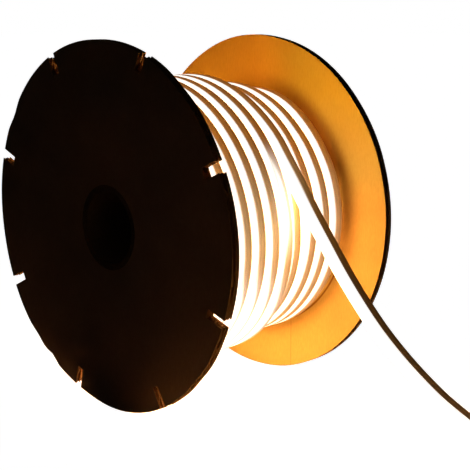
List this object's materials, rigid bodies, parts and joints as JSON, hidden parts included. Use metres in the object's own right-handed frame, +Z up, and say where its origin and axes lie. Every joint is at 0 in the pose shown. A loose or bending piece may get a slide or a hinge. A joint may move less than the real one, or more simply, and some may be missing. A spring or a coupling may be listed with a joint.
{
  "type": "led neon flex",
  "caption": "Flexible LED neon light strip wound on a corrugated cardboard reel with one slotted flange; its free end hangs off the front and ends in a cap.",
  "frame": {"origin": "on the floor under the middle of the reel's width and axis", "axes": "+X along the reel's axis from the slotted flange to the plain one, -Y towards the free end, +Z up"},
  "size_m": [0.1898, 0.7233, 0.3197],
  "materials": {
    "kraft_board": "matte",
    "kraft_tube": "matte",
    "warm_white_silicone": "satin",
    "cap_silicone": "satin"
  },
  "bodies": {
    "root": {"flange_slotted": "kraft_board", "flange_plain": "kraft_board", "core_tube": "kraft_tube", "flex_winding": "warm_white_silicone", "flex_tail": "warm_white_silicone", "end_cap": "cap_silicone"}
  },
  "joints": []
}
